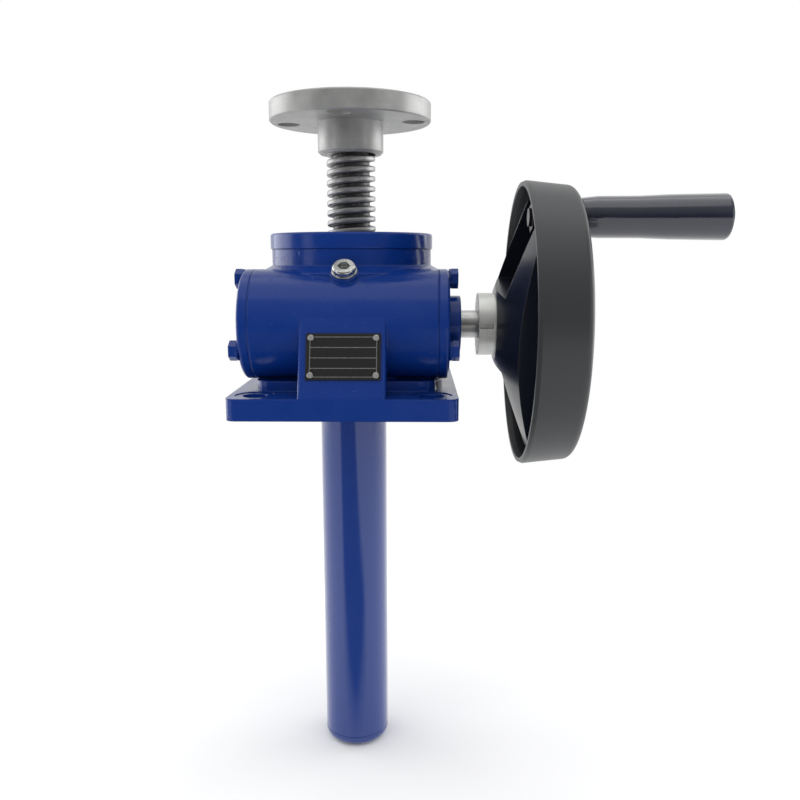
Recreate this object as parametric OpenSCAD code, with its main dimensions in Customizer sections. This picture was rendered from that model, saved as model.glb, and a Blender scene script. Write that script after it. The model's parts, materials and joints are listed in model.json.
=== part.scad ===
// Worm screw jack with a protective tube, a top flange and a dished handwheel.
// X runs along the worm shaft towards the handwheel, Z is up the lifting screw, and the origin is the
// centre of the base plate's mounting face, on the screw axis.

/* [Base plate] */
// Width of the base plate along the worm shaft
base_w = 127; // [122:0.5:142]
// Depth of the base plate across the worm shaft
base_d = 172; // [166:0.5:192]
// Thickness of the base plate
base_t = 12.2; // [9:0.1:16]
// Radius of the base plate's upright corners
base_corner_r = 5.5; // [2:0.5:9]
// Spacing of the mounting holes along the worm shaft
base_hole_x = 98; // [88:0.5:104]
// Spacing of the mounting holes across the worm shaft
base_hole_y = 144; // [130:0.5:150]
// Diameter of the mounting holes
base_hole_d = 13.5; // [9:0.5:15]

/* [Gear housing] */
// Height of the worm axis above the mounting face
shaft_z = 49; // [48:0.5:56]
// Distance from the screw axis to the worm axis
shaft_offset = 39.5; // [38.5:0.25:41]
// Diameter of the horizontal worm case
case_d = 63.6; // [60:0.2:68]
// Length of the worm case between its end faces
case_w = 105.4; // [101:0.2:112]
// Diameter of the upright barrel round the worm wheel
barrel_d = 114; // [106:0.5:118]
// Height where the barrel starts to taper
taper_low_z = 78.6; // [72:0.2:80]
// Height where the taper meets the neck
taper_high_z = 82.8; // [81:0.2:88]
// Diameter of the neck under the cap
neck_d = 98.8; // [92:0.2:100]
// Height of the casting's top face
body_top_z = 92.4; // [90:0.2:97]
// Reach of the foot in front of the screw axis
foot_front = 61; // [58:0.5:68]
// Reach of the foot behind the screw axis
foot_back = 60; // [56:0.5:68]
// Height of the foot above the base plate
foot_h = 6; // [4:0.5:9]
// Radius of the foot's upright corners
foot_corner_r = 10; // [8:0.5:26]
// Width of the sloping nameplate pad
pad_w = 48; // [44:0.5:56]
// Radius of the pad's long edges
pad_edge_r = 2; // [1:0.25:4]

/* [Cap] */
// Diameter of the screwed cap
cap_d = 100.4; // [98:0.2:106]
// Thickness of the cap's rim
cap_t = 9.4; // [7:0.1:14]
// Diameter of the cap's threaded skirt
cap_skirt_d = 74; // [70:0.5:80]
// Diameter of the two blind holes for the pin spanner
spanner_hole_d = 8; // [5:0.5:9]
// Spacing of the two blind holes for the pin spanner
spanner_hole_pcd = 70; // [56:0.5:80]

/* [Lifting screw] */
// Outside diameter of the lifting screw
screw_d = 30; // [26:0.5:31]
// Pitch of the trapezoidal thread
screw_pitch = 6; // [5:0.5:8]
// Gap between the screw's crests and whatever it slides through
screw_gap = 0.3; // [0.2:0.05:0.6]
// Height of the flange boss above the cap at rest
screw_out = 47.5; // [43:0.5:80]
// Diameter of the turned ends of the screw
screw_end_d = 22; // [16:0.5:22.5]
// Distance from the cap's top face down to the screw's lower end at rest
screw_below = 272; // [240:1:280]

/* [Top flange] */
// Diameter of the top flange
flange_d = 98; // [90:0.5:110]
// Thickness of the top flange
flange_t = 11.5; // [8:0.5:16]
// Bolt circle of the top flange
flange_pcd = 77; // [70:0.5:80]
// Turn of the top flange's holes about the screw
flange_turn = -5.5; // [-45:0.5:45]
// Diameter of the top flange's bolt holes
flange_hole_d = 14; // [9:0.5:15]
// Diameter of the flange boss
boss_d = 40; // [38:0.5:50]
// Height of the flange boss under the flange
boss_h = 18.5; // [14:0.1:24]

/* [Protective tube] */
// Outside diameter of the protective tube
tube_d = 42.4; // [41:0.1:46]
// Wall of the protective tube
tube_wall = 2.6; // [2:0.1:3]
// Distance the tube reaches below the mounting face
tube_drop = 237; // [222:0.5:260]
// Depth of the tube's socket in the base
tube_socket = 14; // [10:0.5:18]
// Thickness of the tube's end cap
tube_cap_t = 7; // [6.5:0.5:12]
// Rounding of the tube's lower end
tube_end_r = 5.5; // [3:0.5:6]

/* [Worm gear] */
// Gear module
gear_module = 2.25; // [2.2:0.01:2.3]
// Teeth on the worm wheel
wheel_teeth = 24; // [24:1:24]
// Width of the worm wheel's toothed rim
gear_w = 22; // [18:0.5:24]
// Thinning of each tooth for backlash
backlash = 0.55; // [0.5:0.05:0.8]
// Outside diameter of the nut's bearing seats
nut_seat_d = 40; // [38:0.5:42]
// Outside diameter of the thrust bearings
thrust_d = 60; // [59:0.5:63]
// Height of each thrust bearing
thrust_h = 13; // [12:0.5:14]
// Diameter of the thrust balls
thrust_ball_d = 7; // [6:0.25:7.5]
// Turns of the worm's thread on each side of the wheel
worm_turns = 3; // [2:1:3]

/* [Worm shaft] */
// Diameter of the shaft's drive end
shaft_d = 16; // [14:0.5:17]
// Diameter of the shaft's bearing seats
journal_d = 17; // [17:0.5:19]
// Outside diameter of the worm bearings
ball_bearing_d = 40; // [38:0.5:42]
// Width of the worm bearings
ball_bearing_w = 12; // [11:0.5:13]
// Diameter of the worm bearing balls
ball_d = 6.5; // [5.5:0.25:6.75]
// Running gap between the shaft and the seal
seal_gap = 0.1; // [0.05:0.05:0.3]

/* [Case covers] */
// Thickness of each case cover
cover_t = 6; // [5:0.1:9]
// Thickness of the cover gaskets
gasket_t = 0.4; // [0.2:0.1:1]
// Bolt circle of the covers
cover_pcd = 52.5; // [51:0.25:54]
// Thread diameter of the cover bolts
cover_bolt_d = 6; // [5:0.5:6.5]
// Diameter of the seal boss on the drive side cover
seal_boss_d = 33; // [31:0.5:36]
// Length of the seal boss
seal_boss_h = 6.7; // [6:0.1:12]
// Outside diameter of the shaft seal
seal_d = 28; // [26:0.5:29]
// Width of the shaft seal
seal_w = 7; // [5:0.5:8]

/* [Oil plug] */
// Angle of the oil plug above the horizontal
plug_tilt = 52; // [45:1:60]
// Diameter of the plug's collar
plug_d = 13.4; // [12:0.2:16]
// Thickness of the plug's collar
plug_t = 3.4; // [3:0.1:6]
// Distance from the screw axis to the plug's seat
plug_reach = 55.5; // [54:0.25:57]
// Height of the centre of the plug's seat
plug_seat_z = 79.5; // [77:0.25:82]

/* [Nameplate] */
// Width of the blank nameplate
plate_w = 40.8; // [30:0.2:42]
// Height of the blank nameplate
plate_h = 26; // [18:0.5:28]
// Thickness of the blank nameplate
plate_t = 0.8; // [0.5:0.1:1.5]
// Sideways place of the nameplate on its pad
plate_x = 0.8; // [-2:0.2:2]
// Distance from the foot of the pad up to the nameplate
plate_up = 10.4; // [6:0.2:14]

/* [Handwheel] */
// Diameter of the handwheel
wheel_d = 162; // [150:1:170]
// Width of the handwheel's rim
rim_w = 28.4; // [26:0.2:32]
// Wall of the handwheel's hollow rim
rim_wall = 3; // [2.5:0.1:4]
// Gap between the seal boss and the back of the hub sleeve
sleeve_gap = 10; // [6:0.5:20]
// Diameter of the steel hub sleeve
sleeve_d = 36; // [34:0.5:39]
// Length of the hub sleeve that stands out of the hub
sleeve_out = 9.7; // [6:0.1:16]
// Reach of the hub behind the rim
hub_back = 14; // [11:0.5:18]
// Turn of the handwheel about its axis at rest
wheel_turn = 14.5; // [0:0.5:30]

/* [Handle] */
// Distance from the wheel axis to the handle
crank_r = 62; // [58:0.5:62.5]
// Length of the revolving handle
handle_l = 82; // [70:1:110]
// Largest diameter of the revolving handle
handle_d = 25.4; // [24:0.2:32]
// Diameter of the handle beside the wheel
handle_neck_d = 21; // [18:0.2:22]
// Diameter of the handle's spindle
spindle_d = 10; // [8:0.5:11]
// Running gap round the handle's spindle
spindle_gap = 0.1; // [0.05:0.05:0.3]

/* [Hidden] */

$fn = 96;
// Fine overlap of the cutting shapes past the face that they cut
e = 0.5;
// Gap between pieces that are assembled by hand
fit = 0.05;

blue = [0.05, 0.17, 0.52];
steel = [0.62, 0.63, 0.65];
dark_steel = [0.36, 0.37, 0.39];
bronze = [0.72, 0.52, 0.25];
black = [0.07, 0.07, 0.08];

case_r = case_d / 2;
case_end = case_w / 2;
cover_face = case_end + gasket_t + cover_t;
boss_face = cover_face + seal_boss_h;
cap_top_z = body_top_z + cap_t;

// Worm wheel and its thrust bearings, stacked round the worm's height
wheel_r = gear_module * wheel_teeth / 2;
wheel_tip_r = wheel_r + gear_module;
wheel_root_r = wheel_r - 1.2 * gear_module;
worm_r = shaft_offset - wheel_r;
worm_tip_r = worm_r + gear_module;
worm_root_r = worm_r - 1.2 * gear_module;
worm_pitch = PI * gear_module;
worm_end = (worm_turns + 1) * worm_pitch + 1;
lead_angle = atan(gear_module / (2 * worm_r));
gear_low_z = shaft_z - gear_w / 2;
gear_high_z = shaft_z + gear_w / 2;
nut_low_z = gear_low_z - thrust_h;
nut_high_z = gear_high_z + thrust_h;
gear_bore_r = thrust_d / 2 + fit;
race_t = (thrust_h - thrust_ball_d) / 2;
thrust_ball_r = (thrust_d + nut_seat_d) / 4;
thrust_balls_n = floor(2 * PI * thrust_ball_r / (thrust_ball_d * 1.25));

// Worm shaft along X
bearing_out = case_end - 2;
bearing_in = bearing_out - ball_bearing_w;
worm_bore_r = ball_bearing_d / 2 + fit;
worm_ball_r = (ball_bearing_d + journal_d) / 4;
worm_ring_t = (ball_bearing_d - journal_d) / 4 - ball_d / 2;
worm_balls_n = floor(2 * PI * worm_ball_r / (ball_d * 1.35));
cover_bolt_r = cover_pcd / 2;
spot_r = case_r + 1;
spot_reach = barrel_d / 2;
bolt_head_h = 4;
bolt_washer_t = 1.4;
bolt_flats = 10;
bolt_l = 20;

// Lifting screw
thread_depth = screw_pitch / 2 + 0.5;
crest_r = screw_d / 2;
root_r = crest_r - thread_depth;
screw_bore_r = crest_r + screw_gap;
boss_low_z = cap_top_z + screw_out;
flange_low_z = boss_low_z + boss_h;
flange_top_z = flange_low_z + flange_t;
screw_low_z = cap_top_z - screw_below;
thread_sides = 16;
collar_h = 10;
collar_low_z = screw_low_z + 3;
thread_low_z = collar_low_z + collar_h;
thread_turns = floor((boss_low_z + boss_h / 2 - 0.5 - thread_low_z) / screw_pitch) - 2;
thread_high_z = thread_low_z + (thread_turns + 2) * screw_pitch;
thread_turn = 108;
thread_crest = 0.14 * screw_pitch;
thread_flank = 0.295 * screw_pitch;
collar_pin_d = 4;
grub_z = boss_low_z + boss_h - 4.5;
grub_d = 6;

// Protective tube
tube_r = tube_d / 2;
tube_bore_r = tube_r - tube_wall;
collar_r = tube_bore_r - 0.6;
wiper_h = 5;
wiper_r = crest_r + 6;
bush_r = crest_r + 5;

// Sloping pad from the plate's front edge up into the worm case
pad_foot = [-base_d / 2, base_t];
case_axis = [-shaft_offset, shaft_z];
pad_reach = norm(case_axis - pad_foot);
pad_cut_r = case_r - 0.4;
pad_angle = atan2(pad_foot[1] - case_axis[1], pad_foot[0] - case_axis[0]) - acos(pad_cut_r / pad_reach);
pad_top = case_axis + pad_cut_r * [cos(pad_angle), sin(pad_angle)];
pad_l = norm(pad_top - pad_foot);
pad_lean = atan((pad_top[0] - pad_foot[0]) / (pad_top[1] - pad_foot[1]));
pad_depth = (base_d / 2 - foot_front) / cos(pad_lean) + 6;
rivet_inset = 2.6;
rivet_r = 1;
rivet_head_r = 1.7;
rivet_head_h = 0.7;

// Oil plug
plug_thread_r = plug_d / 2 - 2.2;
plug_seat_r = plug_d / 2 + 1.4;
plug_seat_h = case_r - worm_bore_r + fit;
washer_t = 1.2;

// Handwheel, with its local Z on the worm axis and its local X up
sleeve_back = boss_face + sleeve_gap;
hub_x = sleeve_back + sleeve_out;
rim_x = hub_x + hub_back;
front_x = rim_x + rim_w;
rim_r = wheel_d / 2;
web_front = front_x - 10;
web_floor = 4;
hub_r = sleeve_d / 2 + 3;
sleeve_end = web_front - 4;
shaft_end = sleeve_end - 1;
dish_slope = (rim_x + 6 - hub_x) / (rim_r - 8 - hub_r);
web_r = rim_r - rim_wall - 9;
window_mid = 0.56 * rim_r;
window_end = 0.45 * rim_r;
key_w = 5;
sleeve_slot = 3;
key_h = 5;
screw_hole_r = 3;

// Handle on its spindle
handle_x = front_x + 1.6;
handle_end = handle_x + handle_l;
spindle_head_h = 6;
spindle_head_r = spindle_d / 2 + 3;
handle_boss_r = handle_neck_d / 2 + 1;
nut_h = 6;
nut_seat_x = web_front - web_floor - 3;
nut_flats = 15;

// A cylinder along the worm axis from one X to another
module on_worm(r, from, to) {
    translate([from, -shaft_offset, shaft_z]) rotate([0, 90, 0]) cylinder(r = r, h = to - from);
}

// An upright ring from one height to another
module ring(r_out, r_in, low, high) {
    translate([0, 0, low]) difference() {
        cylinder(r = r_out, h = high - low);
        translate([0, 0, -e]) cylinder(r = r_in, h = high - low + 2 * e);
    }
}

// A ring along the worm axis
module worm_ring(r_out, r_in, from, to) {
    difference() {
        on_worm(r_out, from, to);
        on_worm(r_in, from - e, to + e);
    }
}

// A slab with round upright corners, its back or front reach given apart
module rounded_slab(x, front, back, h, r) {
    translate([-x, -front + r, 0]) cube([2 * x, front + back - 2 * r, h]);
    translate([-x + r, -front, 0]) cube([2 * x - 2 * r, front + back, h]);
    for (sx = [-1, 1], y = [-front + r, back - r])
        translate([sx * (x - r), y, 0]) cylinder(r = r, h = h);
}

// Puts its children at the four base holes
module at_base_holes() {
    for (sx = [-1, 1], sy = [-1, 1])
        translate([sx * base_hole_x / 2, sy * base_hole_y / 2, 0]) children();
}

// Puts its children at the three bolts of a cover; side is -1 at the left and 1 at the right
module at_cover_bolts(side) {
    for (turn = [0, 120, 240])
        translate([side * (case_end - 2 * e), -shaft_offset, shaft_z])
            rotate([-turn * side, 0, 0]) translate([0, 0, cover_bolt_r]) rotate([0, side * 90, 0]) children();
}

// Frame of the sloping pad: local Z up the slope, local Y into the casting
module on_pad() {
    translate([0, pad_foot[0], pad_foot[1]]) rotate([-pad_lean, 0, 0]) children();
}

// Frame of the oil plug: local Z out along the plug
module on_plug() {
    translate([0, -plug_reach, plug_seat_z]) rotate([90 - plug_tilt, 0, 0]) children();
}

// Frame of the handwheel: local Z along the worm axis, local X towards the handle
module on_wheel() {
    translate([0, -shaft_offset, shaft_z]) rotate([wheel_turn, 0, 0]) rotate([0, 90, 0])
        rotate([0, 0, 180]) children();
}

// Frame of the handle: local Z along the spindle
module on_handle() {
    on_wheel() translate([crank_r, 0, 0]) children();
}

// Dished outer side of the hub and web: the X where a radius starts
function dish_x(r) = hub_x + (r - hub_r) * dish_slope;

module gear_housing() {
    color(blue) difference() {
        union() {
            rounded_slab(base_w / 2, base_d / 2, base_d / 2, base_t, base_corner_r);
            translate([0, 0, base_t - e])
                rounded_slab(case_end - 1.2, foot_front, foot_back, foot_h + e, foot_corner_r);
            on_worm(case_r, -case_end, case_end);
            rotate_extrude() polygon([[0, base_t - e], [barrel_d / 2, base_t - e],
                [barrel_d / 2, taper_low_z], [neck_d / 2, taper_high_z], [neck_d / 2, body_top_z], [0, body_top_z]]);
            nameplate_pad();
            on_plug() translate([0, 0, -plug_seat_h]) cylinder(r = plug_seat_r, h = plug_seat_h);
        }
        on_worm(worm_bore_r, -case_end - e, case_end + e);
        for (from = [-spot_reach - case_end, case_end]) on_worm(spot_r, from, from + spot_reach);
        ring(gear_bore_r, 0, nut_low_z, body_top_z + e);
        ring(cap_skirt_d / 2 + fit, 0, nut_high_z, body_top_z + e);
        ring(screw_bore_r + 1, 0, -e, body_top_z);
        ring(tube_r + fit, 0, -e, tube_socket);
        at_base_holes() translate([0, 0, -e]) cylinder(d = base_hole_d, h = base_t + 2 * e);
        at_base_holes() translate([0, 0, base_t - 0.4]) cylinder(d = base_hole_d + 9, h = foot_h + e);
        for (side = [-1, 1]) at_cover_bolts(side)
            translate([0, 0, 2 * e - bolt_l + 3]) cylinder(d = cover_bolt_d + 2 * fit, h = bolt_l);
        on_plug() translate([0, 0, -case_r]) cylinder(r = plug_thread_r + fit, h = case_r + e);
        on_plug() cylinder(r = plug_seat_r - 0.3, h = washer_t + plug_t);
        on_pad() at_rivets() rotate([-90, 0, 0]) cylinder(r = rivet_r + fit, h = 4);
    }
}

module nameplate_pad() {
    on_pad() {
        translate([-pad_w / 2 + pad_edge_r, 0, 0]) cube([pad_w - 2 * pad_edge_r, pad_depth, pad_l]);
        translate([-pad_w / 2, pad_edge_r, 0]) cube([pad_w, pad_depth - pad_edge_r, pad_l]);
        for (sx = [-1, 1])
            translate([sx * (pad_w / 2 - pad_edge_r), pad_edge_r, 0]) cylinder(r = pad_edge_r, h = pad_l);
    }
}

module at_rivets() {
    for (sx = [-1, 1], sz = [-1, 1])
        translate([plate_x + sx * (plate_w / 2 - rivet_inset), 0, plate_up + plate_h / 2
            + sz * (plate_h / 2 - rivet_inset)]) children();
}

module housing_cap() {
    color(blue) difference() {
        union() {
            rotate_extrude() polygon([[0, body_top_z], [cap_d / 2, body_top_z], [cap_d / 2, cap_top_z - 1],
                [cap_d / 2 - 1, cap_top_z], [0, cap_top_z]]);
            ring(cap_skirt_d / 2, 0, nut_high_z, body_top_z);
        }
        ring(screw_bore_r + 1, 0, nut_high_z - e, cap_top_z + e);
        ring(bush_r + fit, 0, nut_high_z + 4, cap_top_z - wiper_h);
        ring(wiper_r + fit, 0, cap_top_z - wiper_h, cap_top_z + e);
        for (sx = [-1, 1]) translate([sx * spanner_hole_pcd / 2, 0, cap_top_z - 6])
            cylinder(d = spanner_hole_d, h = 7);
    }
}

module screw_wiper() {
    color(black) rotate_extrude() polygon([
        [screw_bore_r, cap_top_z - wiper_h], [wiper_r, cap_top_z - wiper_h],
        [wiper_r, cap_top_z], [screw_bore_r + 1, cap_top_z + 0.6], [screw_bore_r, cap_top_z + 0.6]]);
}

module guide_bush() {
    color(bronze) ring(bush_r, screw_bore_r, nut_high_z + 4, cap_top_z - wiper_h);
}

module protective_tube() {
    color(blue) ring(tube_r, tube_bore_r, tube_cap_t - tube_drop, tube_socket);
}

module tube_end_cap() {
    color(blue) {
        rotate_extrude() difference() {
            union() {
                translate([0, -tube_drop]) square([tube_r - tube_end_r, tube_cap_t]);
                translate([0, tube_end_r - tube_drop]) square([tube_r, tube_cap_t - tube_end_r]);
                translate([tube_r - tube_end_r, tube_end_r - tube_drop]) circle(r = tube_end_r);
            }
            translate([-tube_r, -tube_drop]) square([tube_r, tube_cap_t + tube_end_r]);
            translate([0, tube_cap_t - tube_drop]) square([2 * tube_r, tube_end_r + e]);
        }
        ring(tube_bore_r - fit, 0, tube_cap_t - tube_drop, tube_cap_t - tube_drop + 5);
    }
}

// Both covers' shape: the disc with a bevelled rim, a register in the bore and three bolt holes
module cover(side) {
    difference() {
        translate([0, -shaft_offset, shaft_z]) rotate([0, side * 90, 0]) union() {
            rotate_extrude() polygon([[0, case_end + gasket_t], [case_r, case_end + gasket_t],
                [case_r, cover_face - 1.2], [case_r - 1.2, cover_face], [0, cover_face]]);
            translate([0, 0, bearing_out])
                cylinder(r = worm_bore_r - fit, h = case_end + gasket_t - bearing_out);
        }
        translate([0, -shaft_offset, shaft_z]) rotate([0, side * 90, 0])
            translate([0, 0, bearing_out - e]) cylinder(r = journal_d / 2 + 4, h = 2 + e);
        at_cover_bolts(side) cylinder(d = cover_bolt_d + 0.4, h = cover_face);
    }
}

module left_cover() { color(blue) cover(-1); }

module right_cover() {
    color(blue) difference() {
        union() {
            cover(1);
            on_worm(seal_boss_d / 2, cover_face - e, boss_face);
        }
        on_worm(shaft_d / 2 + 1, bearing_out - e, boss_face + e);
        on_worm(seal_d / 2 + fit, boss_face - seal_w, boss_face + e);
    }
}

module gasket(side) {
    color(black) difference() {
        translate([side > 0 ? case_end : -case_end - gasket_t, 0, 0])
            worm_ring(case_r, worm_bore_r, 0, gasket_t);
        at_cover_bolts(side) cylinder(d = cover_bolt_d + 0.4, h = cover_face);
    }
}

module left_gasket() { gasket(-1); }
module right_gasket() { gasket(1); }

module cover_bolts(side) {
    color(dark_steel) at_cover_bolts(side) translate([0, 0, 2 * e + gasket_t + cover_t]) {
        difference() {
            cylinder(r = bolt_flats / 2 + 0.6, h = bolt_washer_t);
            translate([0, 0, -e]) cylinder(d = cover_bolt_d + 0.2, h = bolt_washer_t + 2 * e);
        }
        translate([0, 0, bolt_washer_t]) cylinder(d = bolt_flats / cos(30), h = bolt_head_h, $fn = 6);
        translate([0, 0, bolt_washer_t - bolt_l]) cylinder(d = cover_bolt_d, h = bolt_l);
    }
}

module left_cover_bolts() { cover_bolts(-1); }
module right_cover_bolts() { cover_bolts(1); }

module shaft_seal() {
    color(black) worm_ring(seal_d / 2, shaft_d / 2 + seal_gap, boss_face - seal_w, boss_face - 0.4);
}

module oil_plug() {
    color(steel) on_plug() difference() {
        union() {
            translate([0, 0, washer_t]) rotate_extrude() polygon([[0, 0], [plug_d / 2, 0],
                [plug_d / 2, plug_t - 0.8], [plug_d / 2 - 0.8, plug_t], [0, plug_t]]);
            translate([0, 0, washer_t - 10]) cylinder(r = plug_thread_r, h = 10);
        }
        translate([0, 0, washer_t + plug_t - 3.4]) cylinder(d = 0.46 * plug_d / cos(30), h = 4, $fn = 6);
    }
}

module plug_washer() {
    color(steel) on_plug() ring(plug_d / 2 + 0.6, plug_thread_r + fit, 0, washer_t);
}

module nameplate() {
    color(black) on_pad() difference() {
        translate([plate_x - plate_w / 2, -plate_t, plate_up]) cube([plate_w, plate_t, plate_h]);
        translate([0, -plate_t - e, 0]) at_rivets()
            rotate([-90, 0, 0]) cylinder(r = rivet_r + fit, h = plate_t + 2 * e);
    }
}

module nameplate_rivets() {
    color(steel) on_pad() translate([0, -plate_t, 0]) at_rivets() {
        rotate([90, 0, 0]) cylinder(r = rivet_head_r, h = rivet_head_h);
        rotate([-90, 0, 0]) cylinder(r = rivet_r, h = 3.5);
    }
}

// Repeats its children at both worm bearings
module at_bearings() {
    for (x = [-bearing_out, bearing_in]) translate([x, 0, 0]) children();
}

module worm_bearing_outer_rings() {
    color(steel) at_bearings()
        worm_ring(ball_bearing_d / 2, ball_bearing_d / 2 - worm_ring_t, 0, ball_bearing_w);
}

module worm_bearing_inner_rings() {
    color(steel) at_bearings() worm_ring(journal_d / 2 + worm_ring_t, journal_d / 2, 0, ball_bearing_w);
}

// Balls sit clear of both rings by a fine running gap
module worm_bearing_balls() {
    color(steel) at_bearings() for (i = [0 : worm_balls_n - 1])
        translate([ball_bearing_w / 2, -shaft_offset, shaft_z]) rotate([i * 360 / worm_balls_n, 0, 0])
            translate([0, 0, worm_ball_r]) sphere(r = ball_d / 2 - fit, $fn = 32);
}

// Repeats its children as the lower bearing and, upside down, as the upper one
module at_thrust() {
    translate([0, 0, nut_low_z]) children();
    translate([0, 0, nut_high_z]) mirror([0, 0, 1]) children();
}

module thrust_housing_washers() {
    color(steel) at_thrust() ring(thrust_d / 2, nut_seat_d / 2 + 1, 0, race_t);
}

module thrust_shaft_washers() {
    color(steel) at_thrust() ring(thrust_d / 2 - 1, nut_seat_d / 2, thrust_h - race_t, thrust_h);
}

module thrust_balls() {
    color(steel) at_thrust() for (i = [0 : thrust_balls_n - 1])
        rotate([0, 0, i * 360 / thrust_balls_n]) translate([thrust_ball_r, 0, thrust_h / 2])
            sphere(r = thrust_ball_d / 2 - fit, $fn = 32);
}

// Worm wheel tooth, standing up from the root circle
function tooth_half(r) = PI * gear_module / 4 - backlash / 2 - (r - wheel_r) * tan(20);

module worm_wheel_nut() {
    color(bronze) difference() {
        union() {
            ring(nut_seat_d / 2, screw_bore_r, nut_low_z + fit, nut_high_z - fit);
            translate([0, 0, shaft_z]) for (half = [0, 1]) mirror([0, 0, half]) mirror([0, half, 0])
                wheel_half();
        }
        ring(screw_bore_r, 0, nut_low_z, nut_high_z);
    }
}

// Upper half of the toothed rim, each tooth leaning by the worm's lead angle
module wheel_half() {
    intersection() {
        cylinder(r = wheel_tip_r, h = gear_w / 2);
        union() {
            cylinder(r = wheel_root_r, h = gear_w / 2);
            for (i = [0 : wheel_teeth - 1]) rotate([0, 0, (i + 0.5) * 360 / wheel_teeth - 90])
                rotate([-lead_angle, 0, 0]) translate([0, 0, -e]) linear_extrude(gear_w / 2 + 2 * e)
                    polygon([[wheel_root_r - 2, -tooth_half(wheel_root_r)],
                        [wheel_root_r, -tooth_half(wheel_root_r)], [wheel_tip_r + e, -tooth_half(wheel_tip_r)],
                        [wheel_tip_r + e, tooth_half(wheel_tip_r)], [wheel_root_r, tooth_half(wheel_root_r)],
                        [wheel_root_r - 2, tooth_half(wheel_root_r)]]);
        }
    }
}

// Triangles from one point to a row of others
function fan(tip, row) = [for (i = [0 : len(row) - 2]) [tip, row[i], row[i + 1]]];

// A right-handed single-start screw round Z as one closed solid with flat ends. Four lines wind up it: the
// crest's upper and lower edges, the tooth's lower root and the upper root of the tooth below. flank and crest
// are the tooth's half widths at root and tip. The crest passes X at the lowest height given.
module threaded_rod(root, tip, pitch, low, high, flank, crest, sides) {
    steps = round((high - low) / pitch * sides);
    n = steps + 1;
    function rise(i) = min(1, 2 * i / sides, 2 * (steps - i) / sides);
    function at(r, i, z) = [r * cos(360 * i / sides), r * sin(360 * i / sides), low + i * pitch / sides + z];
    function crest_line(z) = [for (i = [0 : steps]) at(root + (tip - root) * rise(i), i, z)];
    function flat_ring(z) = [for (i = [0 : sides - 1])
        [root * cos(360 * i / sides), root * sin(360 * i / sides), z]];
    points = concat(crest_line(crest), crest_line(-crest), [for (i = [0 : steps]) at(root, i, -flank)],
        [for (i = [0 : steps + sides]) at(root, i, flank - pitch)],
        flat_ring(low - pitch), flat_ring(high + pitch));
    g = 3 * n;
    b = 4 * n + sides;
    t = b + sides;
    faces = concat(
        [for (i = [0 : steps - 1], k = [0 : 2])
            [k * n + i + 1, (k + 1) * n + i + 1, (k + 1) * n + i, k * n + i]],
        [for (i = [sides : steps + sides - 1]) [g + i + 1, i + 1 - sides, i - sides, g + i]],
        [for (i = [0 : sides - 2]) [g + i + 1, b + i + 1, b + i, g + i]],
        fan(b + sides - 1, [g + sides - 1, g + sides, 0, n, 2 * n, g, b]),
        fan(t + (steps + 1) % sides, [g + steps + 1, g + steps, 2 * n + steps, n + steps, steps,
            g + steps + sides, t + steps % sides]),
        [for (i = [steps + 1 : steps + sides - 1]) [g + i + 1, g + i, t + i % sides, t + (i + 1) % sides]],
        [[for (i = [0 : sides - 1]) b + i]], [[for (i = [sides - 1 : -1 : 0]) t + i]]);
    polyhedron(points = points, faces = faces, convexity = 20);
}

module worm_shaft() {
    crest = worm_pitch / 4 - gear_module * tan(20) - backlash / 2;
    flank = worm_pitch / 4 + 1.2 * gear_module * tan(20) - backlash / 2;
    color(steel) {
        difference() {
            union() {
                on_worm(journal_d / 2, -bearing_out, 3 - worm_end);
                on_worm(journal_d / 2, worm_end - 3, bearing_out + 0.5);
                on_worm(journal_d / 2 + worm_ring_t * 0.8, -bearing_in, -worm_end);
                on_worm(journal_d / 2 + worm_ring_t * 0.8, worm_end, bearing_in);
                on_worm(shaft_d / 2, bearing_out, shaft_end);
            }
            on_worm(screw_hole_r, shaft_end - 16, shaft_end + e);
            keyway(shaft_d / 2 - key_h / 2);
        }
        translate([0, -shaft_offset, shaft_z]) rotate([0, 90, 0]) rotate([0, 0, 90])
            threaded_rod(worm_root_r, worm_tip_r, worm_pitch, -worm_turns * worm_pitch,
                worm_turns * worm_pitch, flank, crest, 24);
    }
}

// Space of the key, from the depth given out to the key's top, on the side away from the handle
module keyway(from) {
    on_wheel() translate([-from - key_h, -key_w / 2, hub_x + 2]) cube([key_h, key_w, sleeve_end - hub_x - 6]);
}

module lead_screw() {
    color(steel) difference() {
        union() {
            translate([0, 0, screw_low_z]) cylinder(d = screw_end_d, h = thread_low_z + 4 - screw_low_z);
            translate([0, 0, thread_high_z - 4])
                cylinder(d = screw_end_d, h = flange_top_z - 0.5 - thread_high_z + 4);
            rotate([0, 0, thread_turn]) threaded_rod(root_r, crest_r, screw_pitch, thread_low_z + screw_pitch,
                thread_high_z - screw_pitch, thread_flank, thread_crest, thread_sides);
        }
        translate([0, 0, collar_low_z + collar_h / 2]) rotate([0, 90, 0])
            cylinder(d = collar_pin_d, h = 2 * crest_r, center = true);
        translate([0, 0, grub_z]) rotate([-90, 0, 0])
            translate([0, 0, screw_end_d / 2 - 2]) cylinder(d = grub_d, h = crest_r);
    }
}

module stop_collar() {
    color(steel) difference() {
        ring(collar_r, screw_end_d / 2 + fit, collar_low_z, thread_low_z);
        translate([0, 0, collar_low_z + collar_h / 2]) rotate([0, 90, 0])
            cylinder(d = collar_pin_d, h = 3 * collar_r, center = true);
    }
}

module stop_collar_pin() {
    color(dark_steel) translate([0, 0, collar_low_z + collar_h / 2]) rotate([0, 90, 0])
        cylinder(d = collar_pin_d, h = 2 * collar_r - 1, center = true);
}

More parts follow.
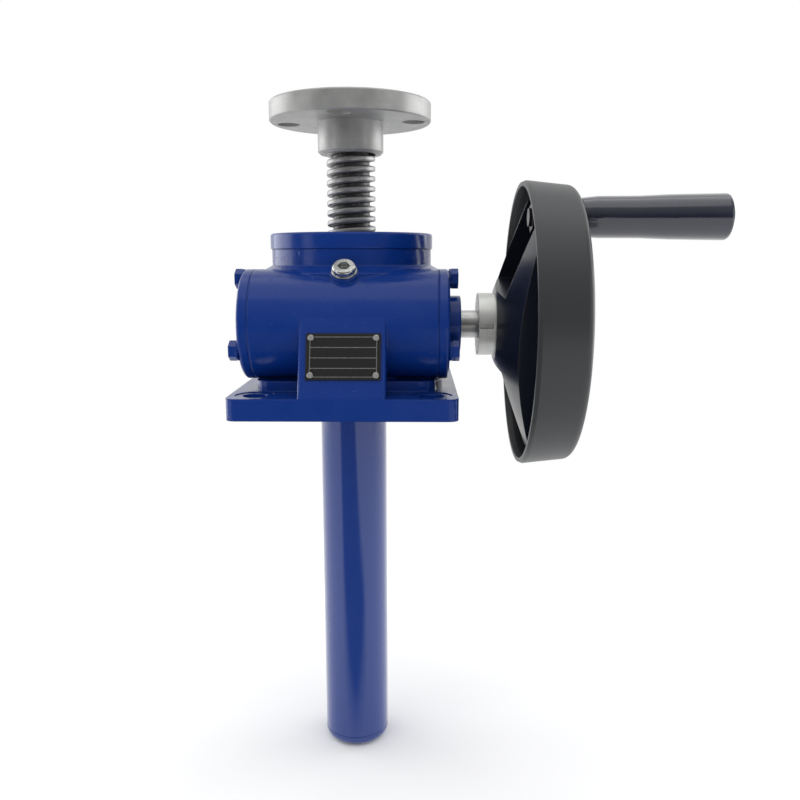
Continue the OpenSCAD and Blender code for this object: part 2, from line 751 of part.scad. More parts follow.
module top_flange() {
    boss_edge = 1.5;
    flange_edge = 0.8;
    color(steel) difference() {
        rotate_extrude() polygon([[0, boss_low_z],
            [boss_d / 2 - boss_edge, boss_low_z], [boss_d / 2, boss_low_z + boss_edge],
            [boss_d / 2, flange_low_z],
            [flange_d / 2 - flange_edge, flange_low_z], [flange_d / 2, flange_low_z + flange_edge],
            [flange_d / 2, flange_top_z - flange_edge], [flange_d / 2 - flange_edge, flange_top_z],
            [0, flange_top_z]]);
        ring(screw_end_d / 2 + fit, 0, boss_low_z - e, flange_top_z + e);
        ring(crest_r + screw_gap, 0, boss_low_z - e, boss_low_z + boss_h / 2);
        for (turn = [0 : 90 : 270]) rotate([0, 0, turn + flange_turn])
            translate([flange_pcd / 2, 0, flange_low_z - e]) cylinder(d = flange_hole_d, h = flange_t + 2 * e);
        translate([0, 0, grub_z]) rotate([-90, 0, 0]) cylinder(d = grub_d, h = boss_d);
    }
}

module flange_grub_screw() {
    color(dark_steel) translate([0, screw_end_d / 2 - 2, grub_z]) rotate([-90, 0, 0])
        difference() {
            cylinder(d = grub_d - 2 * fit, h = boss_d / 2 - screw_end_d / 2 + 1.4);
            translate([0, 0, boss_d / 2 - screw_end_d / 2 - 2]) cylinder(d = 3 / cos(30), h = 5, $fn = 6);
        }
}

module hub_sleeve() {
    color(steel) difference() {
        worm_ring(sleeve_d / 2, shaft_d / 2 + fit, sleeve_back, sleeve_end);
        keyway(shaft_d / 2 - key_h / 2);
        translate([sleeve_back - e, -shaft_offset - sleeve_d / 2 - e, shaft_z - sleeve_slot / 2])
            cube([sleeve_out - 1, sleeve_slot + e, sleeve_slot]);
        on_wheel() translate([0, 0, sleeve_back + sleeve_out / 2]) rotate([0, 90, -60])
            cylinder(d = 6, h = sleeve_d);
    }
}

module hub_key() {
    color(dark_steel) keyway(shaft_d / 2 - key_h / 2);
}

module hub_grub_screw() {
    color(dark_steel) on_wheel() translate([0, 0, sleeve_back + sleeve_out / 2]) rotate([0, 90, -60])
        difference() {
            translate([0, 0, shaft_d / 2]) cylinder(d = 6 - 2 * fit, h = (sleeve_d - shaft_d) / 2 - 1.5);
            translate([0, 0, sleeve_d / 2 - 4]) cylinder(d = 3 / cos(30), h = 5, $fn = 6);
        }
}

// Outline of the handwheel's solid web in its plane: two arcs, between the two finger windows
module web_outline() {
    sag = window_mid - window_end;
    half = sqrt(pow(web_r, 2) - pow(window_end, 2));
    arc_r = (pow(half, 2) + pow(sag, 2)) / (2 * sag);
    intersection() {
        circle(r = web_r + 2);
        for (side = [-1, 1]) intersection_for(s = [-1, 1])
            translate([0, s * (window_mid - arc_r)]) circle(r = arc_r, $fn = 200);
    }
}

// Pocket between the two ribs of one arm, wider towards the rim and open to the rim's hollow
module arm_pocket() {
    near = hub_r + 1;
    far = web_r + 3;
    polygon([[near, -0.26 * rim_r], [near, 0.26 * rim_r], [far, 0.29 * rim_r], [far, -0.29 * rim_r]]);
}

module handwheel() {
    color(black) difference() {
        union() {
            on_wheel() rim();
            on_wheel() intersection() {
                rotate_extrude() polygon([[0, hub_x], [hub_r, hub_x], [rim_r - 8, dish_x(rim_r - 8)],
                    [rim_r - 8, web_front], [0, web_front]]);
                linear_extrude(front_x) web_outline();
            }
            on_handle() translate([0, 0, web_front - e])
                cylinder(r = handle_boss_r, h = handle_x - web_front + e);
        }
        on_wheel() for (turn = [0, 180]) rotate([0, 0, turn]) difference() {
            translate([0, 0, hub_x]) linear_extrude(web_front - web_floor - hub_x) arm_pocket();
            if (turn == 0) translate([crank_r, 0, nut_seat_x]) cylinder(r = handle_boss_r, h = rim_w);
        }
        on_worm(sleeve_d / 2 + fit, hub_x - e, sleeve_end);
        on_worm(sleeve_d / 2 - 3, hub_x, web_front + e);
        on_handle() cylinder(d = spindle_d, h = handle_x + e);
    }
}

// Hollow rim, open to the back, with its round nose to the front
module rim() {
    nose = 4.5;
    front_r = rim_r - 2.4;
    rotate_extrude() difference() {
        union() {
            polygon([[web_r, web_front - 5], [rim_r - rim_wall, rim_x],
                [rim_r - 0.8, rim_x], [rim_r, rim_x + 2],
                [front_r, front_x - nose], [front_r - nose, front_x], [web_r + 2, front_x],
                [web_r, front_x - 4]]);
            translate([front_r - nose, front_x - nose]) circle(r = nose);
        }
        polygon([[web_r + 3.5, web_front], [rim_r - rim_wall - 0.4, rim_x - e],
            [rim_r - rim_wall, rim_x - e], [front_r - rim_wall, front_x - nose],
            [front_r - rim_wall - 2, front_x - 4], [web_r + 3.5, front_x - 4]]);
        translate([web_r - 2, rim_x - e]) square([rim_r - rim_wall - web_r + 1.6, web_front - rim_x - 5]);
    }
}

module wheel_washer() {
    color(steel) worm_ring(sleeve_d / 2 - 4, screw_hole_r + fit, sleeve_end, sleeve_end + 2);
}

module wheel_screw() {
    color(steel) translate([0, -shaft_offset, shaft_z]) rotate([0, 90, 0]) {
        translate([0, 0, sleeve_end + 2]) cylinder(d = bolt_flats / cos(30), h = bolt_head_h, $fn = 6);
        translate([0, 0, shaft_end - 14]) cylinder(r = screw_hole_r, h = sleeve_end + 2 - shaft_end + 14);
    }
}

module handle_spindle() {
    color(steel) on_handle() difference() {
        union() {
            translate([0, 0, nut_seat_x - nut_h - 3])
                cylinder(d = spindle_d, h = handle_end - 3 - nut_seat_x + nut_h);
            translate([0, 0, handle_end - 6 - spindle_head_h])
                cylinder(r = spindle_head_r, h = spindle_head_h);
        }
        translate([0, 0, handle_end - 9]) cylinder(d = 5 / cos(30), h = 4, $fn = 6);
    }
}

module handle_washer() {
    color(steel) on_handle() ring(spindle_head_r + 1, spindle_d / 2 + fit, nut_seat_x - 1.5, nut_seat_x);
}

module handle_nut() {
    color(steel) on_handle() translate([0, 0, nut_seat_x - 1.5 - nut_h]) difference() {
        cylinder(d = nut_flats / cos(30), h = nut_h, $fn = 6);
        translate([0, 0, -e]) cylinder(d = spindle_d + 2 * fit, h = nut_h + 2 * e);
    }
}

module handle_grip() {
    nose = 3;
    color(black) on_handle() difference() {
        rotate_extrude() difference() {
            union() {
                polygon([[0, handle_x + 0.3], [handle_neck_d / 2 - 1, handle_x + 0.3],
                    [handle_neck_d / 2, handle_x + 1.3], [handle_neck_d / 2 + 0.9, handle_x + handle_l * 0.12],
                    [handle_d / 2 - 1.2, handle_x + handle_l * 0.4], [handle_d / 2 - 0.5,
                    handle_x + handle_l * 0.6], [handle_d / 2, handle_end - nose],
                    [handle_d / 2 - nose, handle_end], [0, handle_end]]);
                translate([handle_d / 2 - nose, handle_end - nose]) circle(r = nose);
            }
            translate([-handle_d, handle_x]) square([handle_d, handle_l]);
        }
        translate([0, 0, handle_x]) cylinder(r = spindle_d / 2 + spindle_gap, h = handle_l);
        translate([0, 0, handle_end - 6 - spindle_head_h - spindle_gap])
            cylinder(r = spindle_head_r + 0.5, h = handle_l);
    }
}

gear_housing();
housing_cap();
screw_wiper();
guide_bush();
protective_tube();
tube_end_cap();
left_cover();
right_cover();
left_gasket();
right_gasket();
left_cover_bolts();
right_cover_bolts();
shaft_seal();
oil_plug();
plug_washer();
nameplate();
nameplate_rivets();
worm_bearing_outer_rings();
worm_bearing_inner_rings();
worm_bearing_balls();
thrust_housing_washers();
thrust_shaft_washers();
thrust_balls();
worm_wheel_nut();
worm_shaft();
lead_screw();
stop_collar();
stop_collar_pin();
top_flange();
flange_grub_screw();
hub_sleeve();
hub_key();
hub_grub_screw();
handwheel();
wheel_washer();
wheel_screw();
handle_spindle();
handle_washer();
handle_nut();
handle_grip();
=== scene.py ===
"""Looks of a worm screw jack: blue cast body, turned steel flange, rolled screw, black handwheel."""

import json
import math

import bmesh
import bpy
from mathutils import Matrix, Vector


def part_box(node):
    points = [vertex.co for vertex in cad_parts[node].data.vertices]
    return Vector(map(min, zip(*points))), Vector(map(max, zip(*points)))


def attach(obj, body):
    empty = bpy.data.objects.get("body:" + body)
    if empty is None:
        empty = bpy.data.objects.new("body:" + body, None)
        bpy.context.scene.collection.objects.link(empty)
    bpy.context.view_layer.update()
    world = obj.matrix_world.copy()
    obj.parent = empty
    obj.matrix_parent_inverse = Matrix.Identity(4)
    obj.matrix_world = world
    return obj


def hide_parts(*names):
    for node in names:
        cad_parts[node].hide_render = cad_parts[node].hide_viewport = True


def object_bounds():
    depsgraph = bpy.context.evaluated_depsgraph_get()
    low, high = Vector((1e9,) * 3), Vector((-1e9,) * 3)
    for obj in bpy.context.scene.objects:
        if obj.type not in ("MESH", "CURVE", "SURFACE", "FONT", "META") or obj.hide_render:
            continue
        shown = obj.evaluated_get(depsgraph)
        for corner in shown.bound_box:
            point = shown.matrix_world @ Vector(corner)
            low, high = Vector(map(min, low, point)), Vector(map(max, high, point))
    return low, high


MM = 0.001

# The camera that fits the photograph: place in mm, angles in degrees, lens in mm on a 36 mm sensor
CAMERA_AT = (40.1653, -503.1528, 86.7237)
CAMERA_YAW = -1.1615
CAMERA_PITCH = 10.1439
CAMERA_ROLL = -0.0791
CAMERA_LENS = 35.569
SENSOR = 36

# The lifting screw's thread and its plain ends
PITCH = 6 * MM
THREAD_DEPTH = 3.5 * MM
CREST_HALF = 0.19 * PITCH
FLANK_HALF = 0.37 * PITCH
BAR_END_R = 11 * MM
THREAD_SIDES = 72

# Where the smooth web of the handwheel turns into its grained rim, as radii
WEB_R = 68 * MM
RIM_R = 74 * MM

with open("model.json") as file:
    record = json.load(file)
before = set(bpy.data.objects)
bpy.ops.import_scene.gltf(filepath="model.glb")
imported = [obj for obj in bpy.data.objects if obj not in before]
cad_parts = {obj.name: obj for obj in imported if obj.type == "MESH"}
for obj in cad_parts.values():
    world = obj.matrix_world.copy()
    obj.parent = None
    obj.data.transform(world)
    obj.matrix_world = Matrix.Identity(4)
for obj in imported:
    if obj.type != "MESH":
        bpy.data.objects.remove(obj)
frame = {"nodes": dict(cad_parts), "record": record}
CAD_LOW, CAD_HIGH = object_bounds()


def middle(node):
    """Centre of a CAD node's box."""
    low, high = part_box(node)
    return (Vector(low) + Vector(high)) / 2


def span(node):
    """Size of a CAD node's box."""
    low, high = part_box(node)
    return Vector(high) - Vector(low)


WORM_AXIS = middle("hub_sleeve")
SCREW_TIP = span("lead_screw").x / 2
SCREW_ROOT = SCREW_TIP - THREAD_DEPTH

# ----------------------------------------------------------------------------------------- node building


class Nodes:
    """A node tree being put together."""

    def __init__(self, tree):
        self.tree = tree

    def add(self, kind, inputs=None, **settings):
        node = self.tree.nodes.new(kind)
        for key, value in settings.items():
            setattr(node, key, value)
        for key, value in (inputs or {}).items():
            self.join(value, node.inputs[key])
        return node

    def join(self, value, socket):
        """Links a socket, or writes a constant."""
        if isinstance(value, bpy.types.NodeSocket):
            self.tree.links.new(value, socket)
        else:
            socket.default_value = value

    def maths(self, operation, *values):
        return self.add("ShaderNodeMath", dict(enumerate(values)), operation=operation).outputs[0]

    def spread(self, value, source, target=(0.0, 1.0)):
        """Maps a value from the source range to the target range, held at both ends."""
        ranges = {"From Min": source[0], "From Max": source[1], "To Min": target[0], "To Max": target[1]}
        return self.add("ShaderNodeMapRange", {"Value": value, **ranges}).outputs[0]

    def mix(self, share, first, second):
        inputs = {0: share, 6: first, 7: second}
        return self.add("ShaderNodeMix", inputs, data_type="RGBA").outputs[2]

    def any_ray(self, *kinds):
        """1 for a ray of one of these kinds, else 0."""
        path = self.add("ShaderNodeLightPath")
        value = path.outputs[kinds[0]]
        for kind in kinds[1:]:
            value = self.maths("MAXIMUM", value, path.outputs[kind])
        return value

    def split(self, vector):
        return self.add("ShaderNodeSeparateXYZ", {"Vector": vector}).outputs


class Paint(Nodes):
    """A material being put together on its Principled shader."""

    def __init__(self, name):
        self.material = bpy.data.materials.new(name)
        self.material.use_nodes = True
        super().__init__(self.material.node_tree)
        self.shader = self.tree.nodes["Principled BSDF"]
        self.place = self.add("ShaderNodeTexCoord").outputs["Object"]

    def set(self, **inputs):
        for key, value in inputs.items():
            self.join(value, self.shader.inputs[key.replace("_", " ")])

    def noise(self, scale, detail=2.0, rough=0.5, place=None):
        inputs = {"Vector": place or self.place, "Scale": scale, "Detail": detail, "Roughness": rough}
        return self.add("ShaderNodeTexNoise", inputs).outputs["Fac"]

    def ramp(self, value, *stops):
        """Greys at the given places, as (place, grey) pairs."""
        node = self.add("ShaderNodeValToRGB", {"Fac": value})
        elements = node.color_ramp.elements
        while len(elements) < len(stops):
            elements.new(0.5)
        for element, (at, grey) in zip(elements, stops):
            element.position = at
            element.color = (grey, grey, grey, 1)
        return node.outputs["Color"]

    def bump(self, height, distance, normal=None, strength=0.5):
        """Raises height over the plain surface, or over another bump or rounded edge given as normal."""
        node = self.add("ShaderNodeBump", {"Height": height, "Distance": distance, "Strength": strength})
        if normal is not None:
            self.join(normal, node.inputs["Normal"])
        return node.outputs["Normal"]

    def round_edges(self, radius):
        return self.add("ShaderNodeBevel", {"Radius": radius}, samples=6).outputs["Normal"]

    def radial(self, axis, centre):
        """Distance from an axis through centre, and the place along it."""
        shifted = self.add("ShaderNodeVectorMath", {0: self.place, 1: centre}, operation="SUBTRACT")
        split = self.split(shifted.outputs[0])
        across = [split[name] for name in "XYZ" if name != axis]
        flat = self.add("ShaderNodeCombineXYZ", dict(zip("XY", across)))
        length = self.add("ShaderNodeVectorMath", {0: flat.outputs[0]}, operation="LENGTH")
        return length.outputs["Value"], split[axis]


def colour(red, green, blue):
    return (red, green, blue, 1.0)


def shade(base, share):
    """The same colour, darker or lighter."""
    return colour(*(share * part for part in base[:3]))


# ----------------------------------------------------------------------------------------- materials


def cast_paint(name, base, dark, cast, coat=0.0, edge=0.9):
    """Glossy sprayed paint with orange peel and dust specks. cast is how wavy the casting under it is."""
    m = Paint(name)
    peel = m.noise(700)
    waves = m.noise(60)
    specks = m.ramp(m.noise(420, 1), (0.0, 0.0), (0.68, 0.0), (0.74, 1.0))
    normal = m.bump(waves, 0.25 * cast * MM, m.round_edges(edge * MM))
    normal = m.bump(peel, 0.05 * MM, normal)
    normal = m.bump(specks, (0.08 + 0.22 * cast) * MM, normal)
    m.set(Base_Color=m.mix(waves, dark, base), Roughness=m.spread(waves, (0.3, 0.7), (0.16, 0.24)))
    m.set(Normal=normal, Coat_Weight=coat, Coat_Roughness=0.06, Specular_IOR_Level=0.3)
    return m.material


def turned_steel(name, axis, centre, base, rough, metal=1.0):
    """Bare steel off a lathe: rings round the axis, with faint stains."""
    m = Paint(name)
    radius, along = m.radial(axis, centre)
    rings = m.add("ShaderNodeCombineXYZ", {"X": radius, "Y": along}).outputs[0]
    fine = m.noise(2600, 3, 0.7, rings)
    broad = m.noise(260, 3, 0.6, rings)
    stains = m.noise(70, 4, 0.6)
    light = m.mix(m.ramp(stains, (0.3, 0.0), (0.7, 1.0)), shade(base, 0.72), base)
    light = m.mix(m.maths("MULTIPLY", broad, 0.25), light, shade(base, 0.5))
    m.set(Base_Color=light, Metallic=metal)
    m.set(Roughness=m.spread(fine, (0.3, 0.7), (rough - 0.06, rough + 0.1)))
    m.set(Normal=m.bump(fine, 0.05 * MM, m.round_edges(0.5 * MM)))
    return m.material


def rolled_thread(name, root, crest, dark, light):
    """Screw steel with painted shade: dark down in the groove, lighter towards the crest."""
    m = Paint(name)
    radius, _ = m.radial("Z", (0, 0, 0))
    uneven = m.maths("MULTIPLY", m.maths("SUBTRACT", m.noise(600, 3), 0.5), 0.5)
    # Painted shade: the colour darkens from the crest down into the groove, where shade falls
    painted_groove_shade = m.maths("ADD", m.spread(radius, (root, crest)), uneven)
    painted_groove_shade = m.ramp(painted_groove_shade, (0.0, 0.1), (0.5, 1.0))
    m.set(Base_Color=m.mix(painted_groove_shade, dark, light), Metallic=0.85, Roughness=0.42)
    m.set(Normal=m.bump(m.noise(1500, 3), 0.05 * MM))
    return m.material


def handle_plastic(name, base):
    """Polished black plastic, rubbed lighter in places by hands."""
    m = Paint(name)
    rubbed = m.noise(45, 4, 0.6)
    m.set(Base_Color=m.mix(m.ramp(rubbed, (0.3, 0.0), (0.75, 1.0)), base, shade(base, 1.5)), IOR=1.52)
    m.set(Roughness=m.spread(rubbed, (0.3, 0.7), (0.13, 0.23)))
    m.set(Normal=m.bump(m.noise(1400), 0.004 * MM, m.round_edges(0.6 * MM)))
    m.set(Coat_Weight=1.0, Coat_Roughness=0.08)
    return m.material


def wheel_plastic(name, web, rim):
    """Moulded black plastic: glossier and darker on the web than on the grained rim."""
    m = Paint(name)
    radius, _ = m.radial("X", WORM_AXIS)
    outer = m.spread(radius, (WEB_R, RIM_R))
    m.set(Base_Color=m.mix(outer, web, rim), Roughness=m.spread(outer, (0, 1), (0.26, 0.40)), IOR=1.52)
    m.set(Normal=m.bump(m.noise(1800, 3), 0.03 * MM, m.round_edges(0.6 * MM)))
    return m.material


def plain_metal(name, base, rough):
    """Small bare metal parts: bolts, rivets, pins, rings and balls."""
    m = Paint(name)
    grit = m.noise(900, 4, 0.6)
    m.set(Base_Color=m.mix(m.ramp(grit, (0.3, 0.0), (0.7, 1.0)), shade(base, 0.75), base))
    m.set(Metallic=1.0, Roughness=rough, Normal=m.bump(grit, 0.03 * MM, m.round_edges(0.25 * MM)))
    return m.material


def rubber(name, base):
    """Dull black seal rubber."""
    m = Paint(name)
    grit = m.noise(1200, 3)
    m.set(Base_Color=m.mix(grit, base, shade(base, 1.6)), Roughness=0.55)
    m.set(Normal=m.bump(grit, 0.05 * MM, m.round_edges(0.3 * MM)))
    return m.material


def bare_plate(name, ground, rule):
    """A blank black nameplate: a thin bright border and plain rules between empty fields."""
    m = Paint(name)
    low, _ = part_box("nameplate")
    size = span("nameplate")
    split = m.split(m.place)
    across = m.maths("DIVIDE", m.maths("SUBTRACT", split["X"], low[0]), size.x)
    up = m.maths("DIVIDE", m.maths("SUBTRACT", split["Z"], low[2]), size.z)

    def band(value, at, half):
        """1 within half a width of a place on the plate."""
        return m.maths("LESS_THAN", m.maths("ABSOLUTE", m.maths("SUBTRACT", value, at)), half)

    inside = m.maths("MULTIPLY", band(across, 0.5, 0.45), band(up, 0.5, 0.43))
    within = m.maths("MULTIPLY", band(across, 0.5, 0.44), band(up, 0.5, 0.415))
    border = m.maths("SUBTRACT", inside, within)
    first, second, third = (band(up, height, 0.008) for height in (0.26, 0.48, 0.70))
    rules = m.maths("MAXIMUM", m.maths("MAXIMUM", first, second), third)
    drawn = m.maths("MAXIMUM", border, m.maths("MULTIPLY", rules, inside))
    drawn = m.maths("MULTIPLY", drawn, m.ramp(m.noise(900, 3, 0.7), (0.3, 0.35), (0.6, 1.0)))
    m.set(Base_Color=m.mix(drawn, ground, rule), Metallic=m.maths("MULTIPLY", drawn, 0.8), Roughness=0.30)
    height = m.maths("ADD", drawn, m.maths("MULTIPLY", m.noise(1200), 0.3))
    m.set(Normal=m.bump(height, 0.03 * MM, m.round_edges(0.2 * MM), 0.6))
    return m.material


BLUE = cast_paint("blue_cast_paint", colour(0.0027, 0.030, 0.200), colour(0.0022, 0.026, 0.180),
                  1.0, edge=1.4)
SMOOTH_BLUE = cast_paint("blue_smooth_paint", colour(0.0027, 0.030, 0.200), colour(0.0022, 0.027, 0.185),
                         0.15)
TUBE_BLUE = cast_paint("blue_tube_paint", colour(0.0027, 0.032, 0.210), colour(0.0022, 0.029, 0.195),
                       0.1, coat=1.0)
FLANGE = turned_steel("flange_steel", "Z", (0, 0, 0), colour(0.40, 0.40, 0.395), 0.38, 0.5)
SLEEVE = turned_steel("sleeve_steel", "X", WORM_AXIS, colour(0.72, 0.73, 0.70), 0.34, 0.7)
SHAFT = turned_steel("shaft_steel", "X", WORM_AXIS, colour(0.55, 0.55, 0.54), 0.28)
PLUG = plain_metal("plug_zinc", colour(0.70, 0.71, 0.68), 0.24)
DARK = plain_metal("black_oxide", colour(0.10, 0.10, 0.11), 0.4)
BRIGHT = plain_metal("bearing_steel", colour(0.62, 0.63, 0.64), 0.2)
BRONZE = plain_metal("bronze", colour(0.55, 0.33, 0.12), 0.34)
WHEEL = wheel_plastic("wheel_plastic", colour(0.005, 0.007, 0.014), colour(0.024, 0.027, 0.029))
GRIP = handle_plastic("grip_plastic", colour(0.006, 0.008, 0.020))
SEAL = rubber("black_rubber", colour(0.012, 0.012, 0.012))
PLATE = bare_plate("plate_black", colour(0.008, 0.008, 0.009), colour(0.30, 0.30, 0.28))
# The screw's near-black colour is painted shade down in its groove; the grey is its crest
THREAD = rolled_thread("screw_steel", SCREW_ROOT, SCREW_TIP, colour(0.030, 0.030, 0.031),
                       colour(0.34, 0.34, 0.34))

LOOKS = {
    BLUE: ("gear_housing", "left_cover", "right_cover"),
    TUBE_BLUE: ("protective_tube", "tube_end_cap"),
    SMOOTH_BLUE: ("housing_cap", "left_gasket", "right_gasket", "left_cover_bolts", "right_cover_bolts"),
    FLANGE: ("top_flange",),
    SLEEVE: ("hub_sleeve",),
    SHAFT: ("worm_shaft", "wheel_washer", "wheel_screw"),
    PLUG: ("oil_plug", "plug_washer", "nameplate_rivets"),
    DARK: ("hub_key", "hub_grub_screw", "flange_grub_screw", "stop_collar_pin", "handle_spindle",
           "handle_washer", "handle_nut"),
    BRIGHT: ("worm_bearing_outer_rings", "worm_bearing_inner_rings", "worm_bearing_balls",
             "thrust_housing_washers", "thrust_shaft_washers", "thrust_balls", "stop_collar"),
    BRONZE: ("worm_wheel_nut", "guide_bush"),
    WHEEL: ("handwheel",),
    GRIP: ("handle_grip",),
    SEAL: ("screw_wiper", "shaft_seal"),
    PLATE: ("nameplate",),
    THREAD: ("lead_screw",),
}
LOOK_OF = {node: look for look, nodes in LOOKS.items() for node in nodes}

# ----------------------------------------------------------------------------------------- finished pieces


def wear(mesh, look):
    mesh.materials.clear()
    mesh.materials.append(look)


def body_of(node):
    bodies = frame["record"]["behaviour"]["bodies"]
    return next(body for body, members in bodies.items() if node in members)


def stand_in(node, mesh, split_angle):
    """A finished piece in the place of one CAD node, shaded smooth up to split_angle degrees."""
    mesh.shade_smooth()
    wear(mesh, LOOK_OF[node])
    piece = bpy.data.objects.new(node + "_finished", mesh)
    bpy.context.scene.collection.objects.link(piece)
    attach(piece, body_of(node))
    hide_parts(node)
    piece.modifiers.new("edges", "EDGE_SPLIT").split_angle = math.radians(split_angle)
    return piece


def round_off(node, width, segments):
    """A copy of a CAD node with its sharp edges rounded and its surfaces shaded smooth."""
    work = bmesh.new()
    work.from_mesh(frame["nodes"][node].data)
    bmesh.ops.remove_doubles(work, verts=work.verts, dist=0.002 * MM)
    bmesh.ops.dissolve_limit(work, angle_limit=math.radians(0.4), verts=work.verts, edges=work.edges)
    least = math.radians(28)
    sharp = [edge for edge in work.edges if len(edge.link_faces) == 2 and edge.calc_face_angle(0) > least]
    bmesh.ops.bevel(work, geom=sharp, offset=width, segments=segments, profile=0.5, affect="EDGES",
                    clamp_overlap=True, harden_normals=False)
    mesh = bpy.data.meshes.new(node + "_finished")
    work.to_mesh(mesh)
    work.free()
    stand_in(node, mesh, 34).modifiers.new("normals", "WEIGHTED_NORMAL").keep_sharp = True


def thread_mesh(low, high, start):
    """The screw's right-handed trapezoidal thread, with eased corners. Its crest passes +X at start."""
    ease = 0.12 * THREAD_DEPTH
    near_root, near_tip = SCREW_ROOT + ease, SCREW_TIP - ease
    profile = [(SCREW_ROOT, -PITCH / 2), (SCREW_ROOT, -FLANK_HALF), (near_root, -FLANK_HALF + 0.6 * ease),
               (near_tip, -CREST_HALF - 0.9 * ease), (SCREW_TIP, -CREST_HALF + 0.6 * ease),
               (SCREW_TIP, CREST_HALF - 0.6 * ease), (near_tip, CREST_HALF + 0.9 * ease),
               (near_root, FLANK_HALF - 0.6 * ease), (SCREW_ROOT, FLANK_HALF)]
    steps = round((high - low) / PITCH * THREAD_SIDES)
    verts = []
    for i in range(steps + 1):
        turn = 2 * math.pi * (i / THREAD_SIDES + (low - start) / PITCH)
        height = low + i * PITCH / THREAD_SIDES
        for radius, up in profile:
            z = min(max(height + up, low), high)
            verts.append((radius * math.cos(turn), radius * math.sin(turn), z))
    row = len(profile)
    faces = [(i * row + k, (i + 1) * row + k, (i + 1) * row + k + 1, i * row + k + 1)
             for i in range(steps) for k in range(row - 1)]
    # The groove's floor joins each turn's upper root to the lower root of the turn above
    next_turn = THREAD_SIDES * row
    faces += [(i + row - 1, i + 2 * row - 1, i + next_turn + row, i + next_turn)
              for i in range(0, (steps - THREAD_SIDES) * row, row)]
    mesh = bpy.data.meshes.new("screw_thread")
    mesh.from_pydata(verts, [], faces)
    mesh.validate()
    return mesh


def add_rods(mesh, rods):
    """Adds plain cylinders (radius, low, high) along Z to a mesh."""
    work = bmesh.new()
    work.from_mesh(mesh)
    for radius, low, high in rods:
        middle_height = Matrix.Translation((0, 0, (low + high) / 2))
        bmesh.ops.create_cone(work, cap_ends=True, segments=64, radius1=radius, radius2=radius,
                              depth=high - low, matrix=middle_height)
    work.to_mesh(mesh)
    work.free()


def finish_screw():
    """The screw with a finer thread, which starts above the stop collar and ends inside the flange's boss."""
    screw_low, screw_high = (corner[2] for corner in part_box("lead_screw"))
    thread_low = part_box("stop_collar")[1][2] + 1 * MM
    thread_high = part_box("top_flange")[0][2] + 3 * MM
    start = (thread_low // PITCH) * PITCH + PITCH / 2
    mesh = thread_mesh(thread_low, thread_high, start)
    add_rods(mesh, [(SCREW_ROOT - 0.02 * MM, thread_low - 0.5 * MM, thread_high),
                    (BAR_END_R, screw_low, thread_low), (BAR_END_R, thread_high, screw_high)])
    stand_in("lead_screw", mesh, 50)


# Width in mm and segments of each piece's rounded edges
ROUNDED = {
    "housing_cap": (0.6, 3),
    "protective_tube": (0.3, 2),
    "tube_end_cap": (0.3, 2),
    "left_cover": (0.5, 2),
    "right_cover": (0.5, 2),
    "left_cover_bolts": (0.5, 3),
    "right_cover_bolts": (0.5, 3),
    "top_flange": (0.4, 3),
    "hub_sleeve": (0.4, 3),
    "oil_plug": (0.3, 3),
    "plug_washer": (0.2, 2),
    "nameplate": (0.15, 2),
    "nameplate_rivets": (0.25, 3),
    "handle_grip": (0.4, 2),
    "wheel_washer": (0.2, 2),
    "wheel_screw": (0.3, 2),
}

for node, look in LOOK_OF.items():
    wear(frame["nodes"][node].data, look)
finish_screw()
for node, (width, segments) in ROUNDED.items():
    round_off(node, width * MM, segments)

# ----------------------------------------------------------------------------------------- floor and light


def floor_paint():
    """Matt white that fades into the white background, see-through from below.

    Shiny surfaces see it dark in front of the jack, as they would see the photographer's side of a room.
    """
    m = Paint("floor_white")
    m.set(Base_Color=m.mix(m.noise(3), colour(0.90, 0.90, 0.90), colour(0.93, 0.93, 0.93)), Roughness=0.9)
    away, _ = m.radial("Z", (0, 0, 0))
    seen = m.any_ray("Is Camera Ray", "Is Glossy Ray", "Is Transmission Ray")
    fade = m.maths("MULTIPLY", m.spread(away, (0.15, 0.75)), seen)
    glow = m.add("ShaderNodeEmission", {"Color": colour(1, 1, 1), "Strength": 1.0})
    surface = m.add("ShaderNodeMixShader", {0: fade, 1: m.shader.outputs[0], 2: glow.outputs[0]})

    spot = m.split(m.place)
    front = m.spread(m.maths("ADD", spot["Y"], m.maths("ABSOLUTE", spot["X"])), (-0.02, -0.10), (0.0, 0.85))
    front = m.maths("MULTIPLY", front, m.spread(spot["X"], (0.20, 0.12)))
    dim = m.maths("MULTIPLY", front, m.any_ray("Is Glossy Ray"))
    unlit = m.add("ShaderNodeEmission", {"Color": colour(0, 0, 0), "Strength": 0.0})
    surface = m.add("ShaderNodeMixShader", {0: dim, 1: surface.outputs[0], 2: unlit.outputs[0]})

    beneath = m.add("ShaderNodeNewGeometry").outputs["Backfacing"]
    clear = m.add("ShaderNodeBsdfTransparent")
    surface = m.add("ShaderNodeMixShader", {0: beneath, 1: surface.outputs[0], 2: clear.outputs[0]})
    m.join(surface.outputs[0], m.tree.nodes["Material Output"].inputs["Surface"])
    return m.material


def lay_floor(z, reach):
    mesh = bpy.data.meshes.new("floor")
    corners = [(-reach, -reach, z), (reach, -reach, z), (reach, reach, z), (-reach, reach, z)]
    mesh.from_pydata(corners, [], [(0, 1, 2, 3)])
    mesh.materials.append(floor_paint())
    floor = bpy.data.objects.new("floor", mesh)
    bpy.context.scene.collection.objects.link(floor)


def soft_light(name, at, towards, width, height, watts):
    light = bpy.data.lights.new(name, "AREA")
    light.shape = "RECTANGLE"
    light.size, light.size_y = width, height
    light.energy = watts
    lamp = bpy.data.objects.new(name, light)
    bpy.context.scene.collection.objects.link(lamp)
    lamp.location = at
    lamp.visible_camera = False
    lamp.rotation_euler = (Vector(towards) - Vector(at)).to_track_quat("-Z", "Y").to_euler()


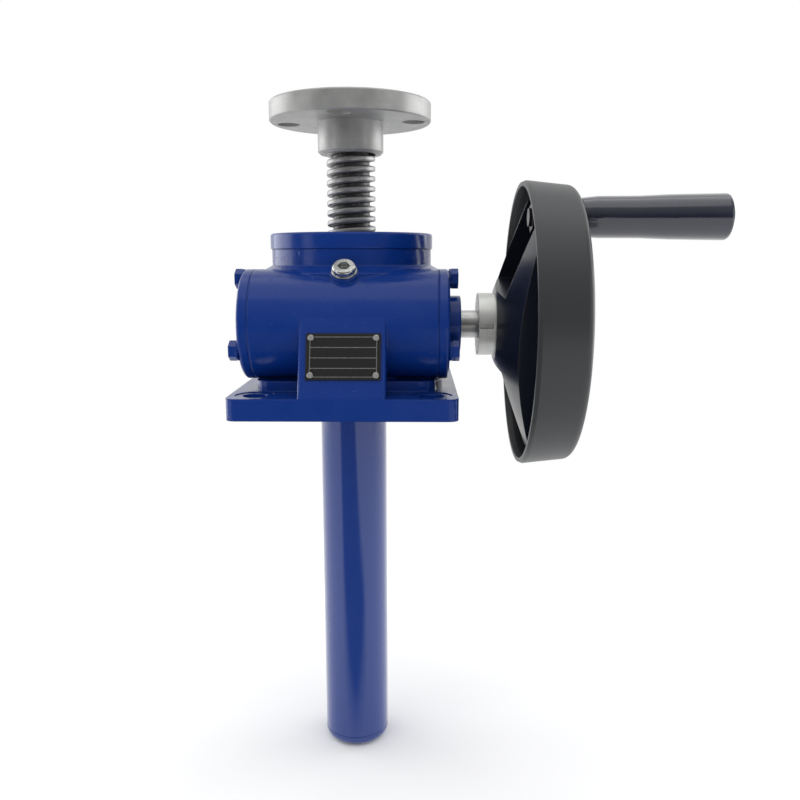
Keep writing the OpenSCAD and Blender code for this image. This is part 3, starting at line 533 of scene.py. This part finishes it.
def white_room():
    """White to the camera, and for reflections dimmer towards the photographer's side, darkest below."""
    world = bpy.data.worlds.new("studio")
    bpy.context.scene.world = world
    world.use_nodes = True
    room = Nodes(world.node_tree)
    way = room.split(room.add("ShaderNodeTexCoord").outputs["Generated"])
    upward = room.spread(way["Z"], (-0.1, 0.75), (0.03, 0.5))
    rearward = room.spread(way["Y"], (-0.3, 0.25))
    mirrored = room.maths("MAXIMUM", upward, rearward)
    mirrored = room.maths("MULTIPLY", mirrored, room.any_ray("Is Glossy Ray", "Is Transmission Ray"))
    diffuse = room.maths("MULTIPLY", room.any_ray("Is Diffuse Ray"), 0.85)
    level = room.maths("MAXIMUM", room.any_ray("Is Camera Ray"), room.maths("MAXIMUM", mirrored, diffuse))
    back = room.tree.nodes["Background"]
    room.join(room.mix(level, colour(0, 0, 0), colour(1, 1, 1)), back.inputs["Color"])
    back.inputs["Strength"].default_value = 1.0


def photo_camera():
    data = bpy.data.cameras.new("photo_camera")
    data.lens = CAMERA_LENS
    data.sensor_width = SENSOR
    data.clip_start = 10 * MM
    camera = bpy.data.objects.new("photo_camera", data)
    bpy.context.scene.collection.objects.link(camera)
    yaw, pitch, roll = (math.radians(angle) for angle in (CAMERA_YAW, CAMERA_PITCH, CAMERA_ROLL))
    ahead = Vector((math.sin(yaw) * math.cos(pitch), math.cos(yaw) * math.cos(pitch), -math.sin(pitch)))
    right = Vector((math.cos(yaw), -math.sin(yaw), 0))
    above = right.cross(ahead)
    tilted_right = math.cos(roll) * right + math.sin(roll) * above
    tilted_up = -math.sin(roll) * right + math.cos(roll) * above
    turn = Matrix((tilted_right, tilted_up, -ahead)).transposed().to_4x4()
    turn.translation = Vector(CAMERA_AT) * MM
    camera.matrix_world = turn
    bpy.context.scene.camera = camera


lay_floor(CAD_LOW.z - 0.5 * MM, 3)
soft_light("overhead", (0, -0.2, 1.5), (0.03, -0.02, 0.05), 1.8, 1.6, 7)
soft_light("left_box", (-1.15, 0.45, 0), (0, 0, 0), 1.1, 1.3, 10)
soft_light("right_box", (1.2, 0.45, 0.05), (0.05, 0, 0), 1.1, 1.3, 10)
soft_light("left_strip", (-0.95, -0.6, 0.2), (0, 0, 0.1), 0.3, 0.8, 0.9)
soft_light("right_strip", (1, -0.6, 0.2), (0.05, 0, 0.1), 0.3, 0.8, 0.9)
white_room()
photo_camera()
bpy.context.scene.view_settings.view_transform = "Standard"
